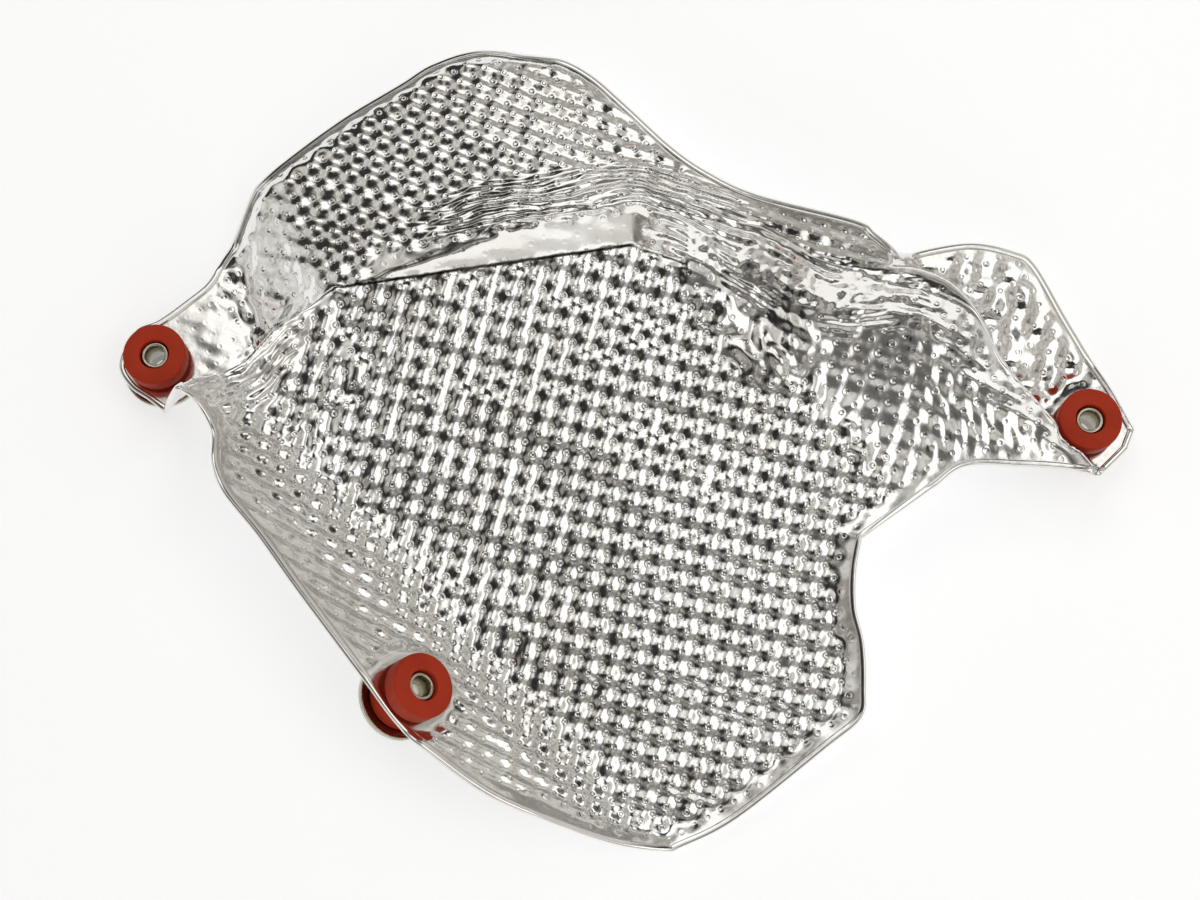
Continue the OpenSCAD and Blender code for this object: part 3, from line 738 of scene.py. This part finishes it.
# painted shade: a near-black line painted into the colour along the sharp crease under the lobe,
# standing in for the shade in the fold
off_line = maths(nodes, links, "ABSOLUTE", from_crease)
in_line = shades(nodes, links, off_line, [(0.25, 1.0), (0.7, 0.0)])
crease_shade_amount = maths(nodes, links, "MULTIPLY", in_line, mark_on_mesh(nodes, "crease_shade_span"))
crease_shade_mix = nodes.new("ShaderNodeMix")
crease_shade_mix.data_type = "RGBA"
links.new(crease_shade_amount, crease_shade_mix.inputs["Factor"])
links.new(tarnish, crease_shade_mix.inputs["A"])
# the near-black colour of the painted shade in the crease
crease_shade_mix.inputs["B"].default_value = (0.05, 0.045, 0.04, 1)
links.new(crease_shade_mix.outputs["Result"], skin.inputs["Base Color"])
shield.data.materials.append(aluminium)
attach(shield, "root")
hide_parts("shield")


# Grommets: three spools of red rubber, moulded in one piece, pushed into the sheet's
# holes so that the sheet sits in the groove between their two discs.
flange_t = 1.2
seat_gap = 0.3
low_disc_t = 7.0
top_disc_t = 7.0
groove_w = 3.4
neck_r = 7.0
grommet_bore_r = 5.1
disc_round = 0.8
edge_round = 0.3
groove_round = 0.4
low_z = flange_t + seat_gap
groove_z = low_z + low_disc_t
upper_z = groove_z + groove_w
top_z = upper_z + top_disc_t


def on_hole(k, points):
    """Puts points drawn on the Z axis, foot of the sleeve at zero, onto a hole."""
    if k < 2:
        return points + [*holes[k], 0]
    axis = unit([*lean, 1])
    side = unit(np.cross([0, 0, 1], axis))
    away = np.cross(side, axis)
    foot = np.array([*holes[2], bowl_height(holes[2:])[0]]) - axis * tab_z
    return foot + points @ np.array([away, side, axis])


def spun(name, profile, k, turns=128):
    """A round piece turned from a closed profile of radius and height."""
    prof = np.array(profile)
    a = np.linspace(0, 2 * np.pi, turns, endpoint=False)
    pts = np.stack([prof[:, 0] * np.cos(a)[:, None], prof[:, 0] * np.sin(a)[:, None],
                    np.broadcast_to(prof[:, 1], (turns, len(prof)))], 2).reshape(-1, 3)
    m = len(prof)
    i = np.repeat(np.arange(turns), m)
    s = np.tile(np.arange(m), turns)
    j, t = (i + 1) % turns, (s + 1) % m
    quads = np.stack([i * m + s, j * m + s, j * m + t, i * m + t], 1)
    if k == 2:
        quads = quads[:, ::-1]
    return to_mesh(name, on_hole(k, pts), quads)


def corner(x, z, r, start, steps=5):
    """Rounded corner of a profile, a quarter turn from the start angle."""
    return [[x + r * math.cos(math.radians(a)), z + r * math.sin(math.radians(a))]
            for a in np.linspace(start, start + 90, steps)]


grommet_profile = (
    corner(grommet_bore_r + edge_round, low_z + edge_round, edge_round, 180, 3)
    + corner(grommet_r - disc_round, low_z + disc_round, disc_round, 270)
    + corner(grommet_r - edge_round, groove_z - edge_round, edge_round, 0, 3)
    + [[neck_r + groove_round, groove_z], [neck_r, groove_z + groove_round]]
    + [[neck_r, upper_z - groove_round], [neck_r + groove_round, upper_z]]
    + corner(grommet_r - edge_round, upper_z + edge_round, edge_round, 270, 3)
    + corner(grommet_r - disc_round, top_z - disc_round, disc_round, 0)
    + corner(grommet_bore_r + edge_round, top_z - edge_round, edge_round, 90, 3)
)
rubber = bpy.data.materials.new("red_rubber")
rubber.use_nodes = True
nodes = rubber.node_tree.nodes
links = rubber.node_tree.links
skin = nodes["Principled BSDF"]
skin.inputs["Specular IOR Level"].default_value = 0.2
place = nodes.new("ShaderNodeTexCoord")
cloud = noise_in(nodes, links, place.outputs["Object"], scale=90.0)
links.new(shades(nodes, links, cloud, [(0.3, (0.46, 0.034, 0.009)), (0.7, (0.56, 0.046, 0.014))]),
          skin.inputs["Base Color"])
grain = noise_in(nodes, links, place.outputs["Object"], scale=900.0, detail=3.0)
links.new(shades(nodes, links, grain, [(0.3, 0.42), (0.7, 0.62)]), skin.inputs["Roughness"])
links.new(raised(nodes, links, grain, depth=0.0002, strength=0.4), skin.inputs["Normal"])
for k, where in enumerate(("left", "right", "lower")):
    grommet = spun("grommet_" + where, grommet_profile, k)
    grommet.data.materials.append(rubber)
    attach(grommet, "root")
    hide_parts("grommet_" + where)


# Sleeves: three steel tubes for M6 bolts, each with a dished flange at its foot, turned
# and zinc plated. They stand in the grommets and stop the bolts from crushing them.
sleeve_r = 4.5
bore_r = 3.4
flange_r = 14.0
rim_h = 1.0
rim_w = 0.9
rim_round = 0.25
foot_round = 0.4
mouth_round = 0.2
rim_slant_w = 0.05
rim_slant_h = 0.35
bead_in = 0.12
bead_up = 0.14
chamfer_w = 0.25
chamfer_h = 0.3
sunk_in_rubber = 1.6
sleeve_top = top_z - sunk_in_rubber
rim_top = flange_t + rim_h - rim_round
rim_in = flange_r - rim_w
sleeve_profile = (
    [[bore_r + chamfer_w, 0.0], [flange_r - rim_w / 2, 0.0]]
    + [[flange_r - bead_in, bead_up], [flange_r, rim_w / 2]]
    + corner(flange_r - rim_round, rim_top, rim_round, 0, 3)
    + corner(rim_in + rim_round, rim_top, rim_round, 90, 3)
    + [[rim_in - rim_slant_w, flange_t + rim_slant_h], [rim_in - foot_round, flange_t]]
    + [[sleeve_r + foot_round, flange_t], [sleeve_r, flange_t + foot_round]]
    + corner(sleeve_r - mouth_round, sleeve_top - mouth_round, mouth_round, 0, 3)
    + [[bore_r + chamfer_w, sleeve_top], [bore_r, sleeve_top - chamfer_h], [bore_r, chamfer_h]]
)
steel = bpy.data.materials.new("plated_steel")
steel.use_nodes = True
nodes = steel.node_tree.nodes
links = steel.node_tree.links
skin = nodes["Principled BSDF"]
skin.inputs["Metallic"].default_value = 1.0
place = nodes.new("ShaderNodeTexCoord")
cloud = noise_in(nodes, links, place.outputs["Object"], scale=70.0)
links.new(shades(nodes, links, cloud, [(0.3, (0.46, 0.43, 0.35)), (0.7, (0.62, 0.60, 0.50))]),
          skin.inputs["Base Color"])
grain = noise_in(nodes, links, place.outputs["Object"], scale=600.0)
links.new(shades(nodes, links, grain, [(0.3, 0.16), (0.7, 0.30)]), skin.inputs["Roughness"])
links.new(raised(nodes, links, grain, depth=0.0002, strength=0.25), skin.inputs["Normal"])
for k, where in enumerate(("left", "right", "lower")):
    sleeve = spun("sleeve_" + where, sleeve_profile, k)
    sleeve.data.materials.append(steel)
    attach(sleeve, "root")
    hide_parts("sleeve_" + where)


# Floor: a plain white sweep of paper that shows the shield's soft shadow. It lies just
# under the lowest part of the rolled edge.
paper_z = -0.3
paper_half = 4000
paper_glow = 0.47
paper = bpy.data.materials.new("paper")
paper.use_nodes = True
nodes = paper.node_tree.nodes
links = paper.node_tree.links
skin = nodes["Principled BSDF"]
skin.inputs["Base Color"].default_value = (0.90, 0.92, 0.95, 1)
skin.inputs["Roughness"].default_value = 0.9
skin.inputs["Emission Color"].default_value = (1, 1, 1, 1)
# lifted a little for the camera and in the metal's reflections, not in the light it gives
path = nodes.new("ShaderNodeLightPath")
seen = maths(nodes, links, "MAXIMUM", path.outputs["Is Camera Ray"], path.outputs["Is Glossy Ray"])
links.new(maths(nodes, links, "MULTIPLY", seen, paper_glow), skin.inputs["Emission Strength"])
square = np.array([[-1, -1, 0], [1, -1, 0], [1, 1, 0], [-1, 1, 0]])
floor = to_mesh("floor", square * paper_half + [0, 0, paper_z], [[0, 1, 2, 3]])
floor.data.materials.append(paper)


# Light: a warm grey room with white and black cards around the shield, as in a studio.
# They fade at their edges and give bright metal its light and dark reflections. The
# camera doesn't see them.
world = bpy.data.worlds.new("room")
bpy.context.scene.world = world
world.use_nodes = True


def white_to_camera(nodes, links, socket, colour):
    """Lights the shield with a colour and shows plain white to the camera."""
    path = nodes.new("ShaderNodeLightPath")
    seen = nodes.new("ShaderNodeMix")
    seen.data_type = "RGBA"
    links.new(path.outputs["Is Camera Ray"], seen.inputs["Factor"])
    if isinstance(colour, tuple):
        seen.inputs["A"].default_value = colour
    else:
        links.new(colour, seen.inputs["A"])
    seen.inputs["B"].default_value = (1, 1, 1, 1)
    links.new(seen.outputs["Result"], socket)


white_to_camera(world.node_tree.nodes, world.node_tree.links,
                world.node_tree.nodes["Background"].inputs["Color"], (0.42, 0.40, 0.365, 1))

# The room's walls and ceiling, with the lighter and darker patches that any room has.
room_half = 2400
room_h = 2350
room_foot = -50
walls = bpy.data.materials.new("room_walls")
walls.use_nodes = True
nodes = walls.node_tree.nodes
links = walls.node_tree.links
nodes.remove(nodes["Principled BSDF"])
glow = nodes.new("ShaderNodeEmission")
place = nodes.new("ShaderNodeTexCoord")
things = noise_in(nodes, links, place.outputs["Object"], scale=1.5, detail=3.0)
wall_greys = shades(nodes, links, things, [(0.38, (0.17, 0.16, 0.145)), (0.5, (0.43, 0.41, 0.375)),
                                           (0.62, (0.72, 0.70, 0.665))])
white_to_camera(nodes, links, glow.inputs["Color"], wall_greys)
links.new(glow.outputs[0], nodes["Material Output"].inputs["Surface"])
foot = square * room_half + [0, 0, room_foot]
room = to_mesh("room", np.vstack([foot, foot + [0, 0, room_h]]),
               [[0, 1, 5, 4], [1, 2, 6, 5], [2, 3, 7, 6], [3, 0, 4, 7], [4, 5, 6, 7]])
room.data.materials.append(walls)


def card(name, turn, tilt, size, tone, fade, distance=1.4):
    """A glowing or black card that faces the shield. It is turned from +X and tilted from
    the zenith, in degrees; its size and distance are in metres, and fade is the share of
    its half width over which it thins out."""
    t, e = math.radians(turn), math.radians(tilt)
    at = np.array([math.cos(t) * math.sin(e), math.sin(t) * math.sin(e), math.cos(e)])
    side = np.array([-math.sin(t), math.cos(t), 0])
    down = np.cross(side, at)
    w, h = side * size[0] * 1000 / 2, down * size[1] * 1000 / 2
    c = at * distance * 1000 + middle
    thing = to_mesh(name, np.array([c - w - h, c + w - h, c + w + h, c - w + h]), [[0, 1, 2, 3]])
    uv = thing.data.uv_layers.new(name="card")
    uv.data.foreach_set("uv", [-1, -1, 1, -1, 1, 1, -1, 1])
    look = bpy.data.materials.new(name)
    look.use_nodes = True
    nodes = look.node_tree.nodes
    links = look.node_tree.links
    nodes.remove(nodes["Principled BSDF"])
    glow = nodes.new("ShaderNodeEmission")
    glow.inputs["Color"].default_value = (1, 0.985, 0.955, 1)
    glow.inputs["Strength"].default_value = tone
    clear = nodes.new("ShaderNodeBsdfTransparent")
    blend = nodes.new("ShaderNodeMixShader")
    spot = nodes.new("ShaderNodeUVMap")
    spot.uv_map = "card"
    split = nodes.new("ShaderNodeSeparateXYZ")
    links.new(spot.outputs["UV"], split.inputs["Vector"])
    far = maths(nodes, links, "MAXIMUM", maths(nodes, links, "ABSOLUTE", split.outputs["X"]),
                maths(nodes, links, "ABSOLUTE", split.outputs["Y"]))
    solid = shades(nodes, links, far, [(1 - fade, 1.0), (1.0, 0.0)])
    path = nodes.new("ShaderNodeLightPath")
    hidden = maths(nodes, links, "SUBTRACT", 1.0, path.outputs["Is Camera Ray"])
    links.new(maths(nodes, links, "MULTIPLY", solid, hidden), blend.inputs["Fac"])
    links.new(clear.outputs[0], blend.inputs[1])
    links.new(glow.outputs[0], blend.inputs[2])
    links.new(blend.outputs[0], nodes["Material Output"].inputs["Surface"])
    thing.data.materials.append(look)


card("right_card", 1, 28.5, (1.6, 0.66), 1.35, 0.3, 1.35)
card("lobe_card", 99, 39, (1.25, 0.7), 1.25, 0.3)
card("zenith_card", 152, 12, (0.58, 0.44), 0.95, 0.6)
card("tab_card", 119, 22, (0.4, 0.36), 1.3, 0.3, 1.35)
card("left_card", 200, 28, (1.6, 1.0), 0.02, 0.6)
card("front_card", -92, 18, (1.2, 0.6), 0.12, 0.6)
card("front_strip", -98, 42, (1.3, 0.22), 0.06, 0.4)
card("low_front_card", -95, 59, (1.9, 1.0), 1.1, 0.25, 1.9)
card("far_card", 41, 33, (0.95, 0.78), 0.02, 0.35)
card("far_left_card", 130, 76, (1.6, 1.1), 0.03, 0.35)
card("flank_card", 178, 72, (1.3, 0.85), 0.8, 0.8)


# Camera: looks down on the shield from the side of its low edge, as in the photograph.
lens = bpy.data.cameras.new("camera")
lens.lens = 62
lens.sensor_width = 36
camera = bpy.data.objects.new("camera", lens)
look_at = (-0.0081, -0.0049, 0.023)
look_from = 0.696
height_angle = math.radians(76)
camera.location = (look_at[0], look_at[1] - math.cos(height_angle) * look_from,
                   look_at[2] + math.sin(height_angle) * look_from)
camera.rotation_euler = (math.pi / 2 - height_angle, 0, 0)
bpy.context.scene.collection.objects.link(camera)
bpy.context.scene.camera = camera
bpy.context.scene.view_settings.view_transform = "Standard"
